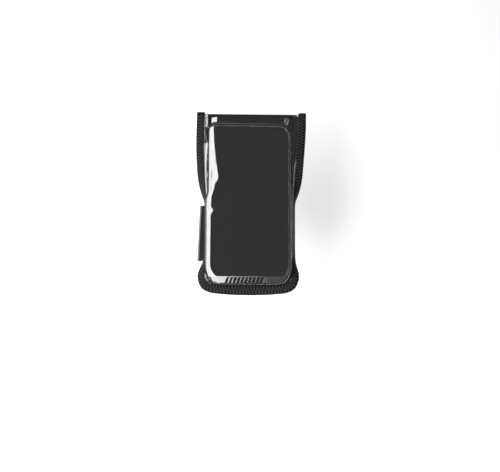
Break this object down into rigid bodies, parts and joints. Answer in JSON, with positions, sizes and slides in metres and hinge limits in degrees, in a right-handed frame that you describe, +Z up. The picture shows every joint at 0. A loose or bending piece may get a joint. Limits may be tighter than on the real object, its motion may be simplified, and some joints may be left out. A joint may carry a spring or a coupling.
{
  "type": "phone mount",
  "caption": "Soft clear-window pouch that holds a phone on top of a bicycle stem and handlebar, with a wide wrap strap round the stem and narrow straps round the bar.",
  "frame": {"origin": "On the stem's axis, at the middle of the stem strap's width.", "axes": "+X to the rider's right, +Y forward along the stem and the pouch, +Z up out of the pouch's face."},
  "size_m": [0.1044, 0.1762, 0.052],
  "materials": {
    "foam_shell": "matte knitted face on foam rubber",
    "board": "plain sheet",
    "lining": "brushed knit",
    "clear_film": "clear, glossy, soft",
    "edge_tape": "woven tape with over-stitching",
    "hem_tape": "woven tape",
    "loop_pile": "fuzzy loops",
    "hook_tape": "small hooks",
    "grip_rubber": "matte ribbed",
    "webbing": "woven strap"
  },
  "bodies": {
    "pouch": {"back_panel": "foam_shell", "back_board": "board", "pocket_lining": "lining", "window_film": "clear_film", "edge_binding": "edge_tape", "mouth_hem": "edge_tape", "mouth_loop_strip": "loop_pile", "stem_pad": "grip_rubber", "stem_strap_anchor": "webbing", "stem_wing": "webbing", "stem_wing_loop": "loop_pile", "bar_pad_left": "grip_rubber", "bar_pad_right": "grip_rubber", "bar_band_left": "webbing", "bar_band_right": "webbing", "bar_loop_left": "loop_pile", "bar_loop_right": "loop_pile"},
    "mouth_lip": {"window_lip": "clear_film", "window_hem": "hem_tape", "mouth_hook_strip": "hook_tape"},
    "stem_strap": {"stem_strap_belly": "webbing"},
    "stem_tail": {"stem_strap_tail": "webbing", "stem_strap_hook": "hook_tape"},
    "bar_tail_left": {"bar_tail_left": "webbing", "bar_hook_left": "hook_tape"},
    "bar_tail_right": {"bar_tail_right": "webbing", "bar_hook_right": "hook_tape"}
  },
  "joints": [
    {"name": "mouth_lip_open", "type": "hinge", "parent": "pouch", "child": "mouth_lip", "pos_m": [0, 0.1, 0.0336], "axis": [1, 0, 0], "range_deg": [0, 75]},
    {"name": "stem_strap_open", "type": "hinge", "parent": "pouch", "child": "stem_strap", "pos_m": [0.0349, 0, 0.019], "axis": [0, -1, 0], "range_deg": [0, 60]},
    {"name": "stem_tail_peel", "type": "hinge", "parent": "stem_strap", "child": "stem_tail", "pos_m": [-0.01512, 0, -0.01083], "axis": [0, -1, 0], "range_deg": [0, 50]},
    {"name": "bar_tail_left_open", "type": "hinge", "parent": "pouch", "child": "bar_tail_left", "pos_m": [-0.031, 0.045, -0.0173], "axis": [-1, 0, 0], "range_deg": [0, 80]},
    {"name": "bar_tail_right_open", "type": "hinge", "parent": "pouch", "child": "bar_tail_right", "pos_m": [0.031, 0.045, -0.0173], "axis": [-1, 0, 0], "range_deg": [0, 80]}
  ]
}
